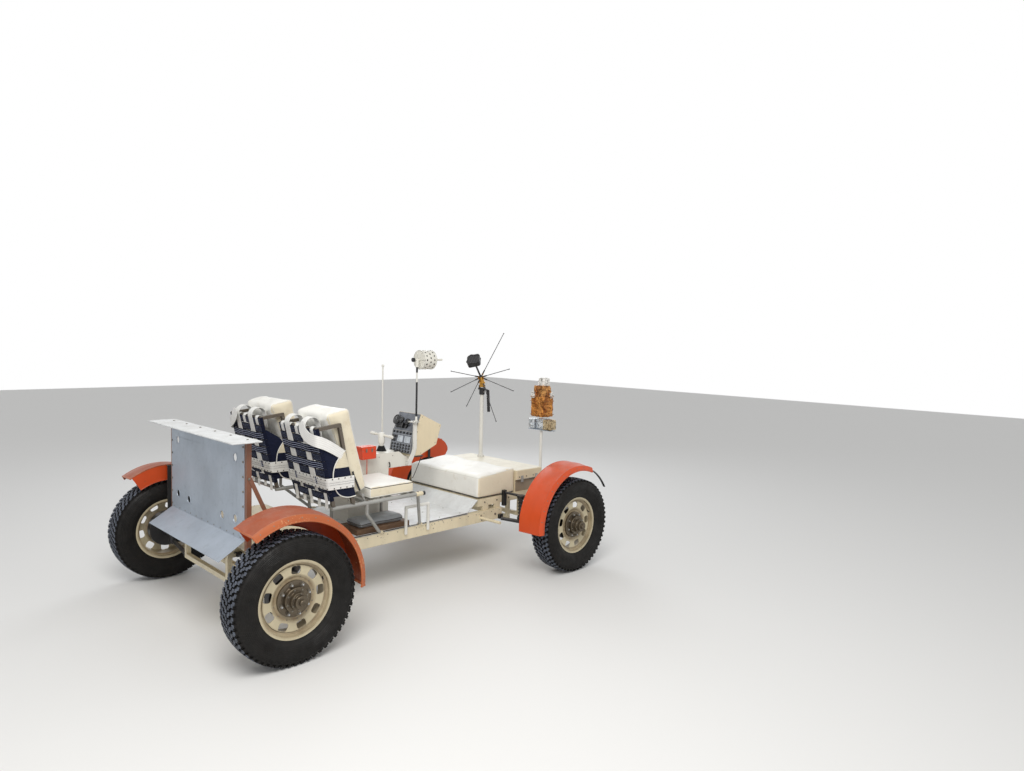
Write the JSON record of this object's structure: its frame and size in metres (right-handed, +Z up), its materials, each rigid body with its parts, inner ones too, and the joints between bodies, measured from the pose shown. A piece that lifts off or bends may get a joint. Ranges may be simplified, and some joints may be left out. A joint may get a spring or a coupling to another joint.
{
  "type": "field test rover",
  "caption": "Open four-wheeled field test rover with webbed seats, console, tool panel, camera and ribbed antenna.",
  "frame": {"origin": "on the ground, midway between the axles and between the wheels", "axes": "+X forward, +Y to the left, +Z up"},
  "size_m": [3.056, 2.14, 1.8313],
  "materials": {
    "cream_steel": "worn satin",
    "cream_sheet": "worn satin",
    "cream_box": "satin",
    "cream_wheel": "worn satin",
    "white_sheet": "satin",
    "white_box": "satin",
    "white_tube": "satin",
    "white_vinyl": "soft sheen",
    "navy_webbing": "woven",
    "white_webbing": "woven",
    "grey_pad": "matt",
    "board_wood": "worn varnish",
    "bare_aluminium": "brushed",
    "orange_brown_steel": "worn",
    "dark_panel": "matt",
    "orange_box": "satin",
    "orange_fender": "gloss",
    "rust_fender": "worn matt",
    "black_steel": "satin",
    "black_fitting": "satin",
    "gold_fitting": "satin",
    "silver_foil": "crinkled",
    "gold_foil": "crinkled",
    "tyre": "worn"
  },
  "bodies": {
    "rover": {"chassis_frame": "cream_steel", "high_frames": "cream_steel", "floor_pan": "white_sheet", "front_box": "white_vinyl", "front_low_box": "cream_box", "rear_deck": "cream_sheet", "side_board": "board_wood", "deck_pad": "grey_pad", "tool_panel": "bare_aluminium", "tool_shelf": "white_sheet", "tool_frame": "orange_brown_steel", "seat_frames": "bare_aluminium", "back_frames": "bare_aluminium", "seat_cushions": "white_vinyl", "seat_backs": "navy_webbing", "back_bands": "white_webbing", "backrest_blocks": "white_vinyl", "console_case": "cream_box", "console_panel": "dark_panel", "centre_box": "white_box", "orange_box": "orange_box", "step_hoops": "white_tube", "fenders_rear": "rust_fender", "suspension_arms": "black_steel", "spring_units": "black_steel", "masts": "white_tube", "camera_boxes": "silver_foil"},
    "right_knuckle": {"knuckle_right": "black_steel", "fender_front_right": "orange_fender"},
    "left_knuckle": {"knuckle_left": "black_steel", "fender_front_left": "orange_fender"},
    "aerial_head": {"antenna_head": "black_fitting"},
    "aerial_dish": {"antenna_hub": "gold_fitting", "antenna_ribs": "black_fitting"},
    "low_aerial": {"low_antenna_drum": "white_box"},
    "camera": {"camera_head": "gold_foil"},
    "front_right_wheel": {"tyre_front_right": "tyre", "wheel_front_right": "cream_wheel"},
    "front_left_wheel": {"tyre_front_left": "tyre", "wheel_front_left": "cream_wheel"},
    "rear_right_wheel": {"tyre_rear_right": "tyre", "wheel_rear_right": "cream_wheel"},
    "rear_left_wheel": {"tyre_rear_left": "tyre", "wheel_rear_left": "cream_wheel"}
  },
  "joints": [
    {"name": "right_steering", "type": "hinge", "parent": "rover", "child": "right_knuckle", "pos_m": [1.17, -0.772, 0.37], "axis": [0, 0, 1], "range_deg": [-25, 25]},
    {"name": "left_steering", "type": "hinge", "parent": "rover", "child": "left_knuckle", "pos_m": [1.17, 0.772, 0.37], "axis": [0, 0, 1], "range_deg": [-25, 25]},
    {"name": "front_right_axle", "type": "hinge", "parent": "right_knuckle", "child": "front_right_wheel", "pos_m": [1.17, -0.932, 0.358], "axis": [0, 1, 0], "continuous": true},
    {"name": "front_left_axle", "type": "hinge", "parent": "left_knuckle", "child": "front_left_wheel", "pos_m": [1.17, 0.932, 0.358], "axis": [0, 1, 0], "continuous": true},
    {"name": "rear_right_axle", "type": "hinge", "parent": "rover", "child": "rear_right_wheel", "pos_m": [-1.17, -0.932, 0.358], "axis": [0, 1, 0], "continuous": true},
    {"name": "rear_left_axle", "type": "hinge", "parent": "rover", "child": "rear_left_wheel", "pos_m": [-1.17, 0.932, 0.358], "axis": [0, 1, 0], "continuous": true},
    {"name": "aerial_turn", "type": "hinge", "parent": "rover", "child": "aerial_head", "pos_m": [1.3, 0.24, 1.3], "axis": [0, 0, 1], "range_deg": [-170, 170]},
    {"name": "aerial_tilt", "type": "hinge", "parent": "aerial_head", "child": "aerial_dish", "pos_m": [1.3, 0.24, 1.35], "axis": [0.342, -0.9397, 0], "range_deg": [-15, 15]},
    {"name": "low_aerial_turn", "type": "hinge", "parent": "rover", "child": "low_aerial", "pos_m": [0.256, -0.16, 1.58], "axis": [0, 0, 1], "range_deg": [-170, 170]},
    {"name": "camera_pan", "type": "hinge", "parent": "rover", "child": "camera", "pos_m": [1.4, -0.4, 1.115], "axis": [0, 0, 1], "range_deg": [-170, 170]}
  ],
  "couplings": [
    {"joint": "left_steering", "follows": "right_steering", "ratio": 1}
  ]
}
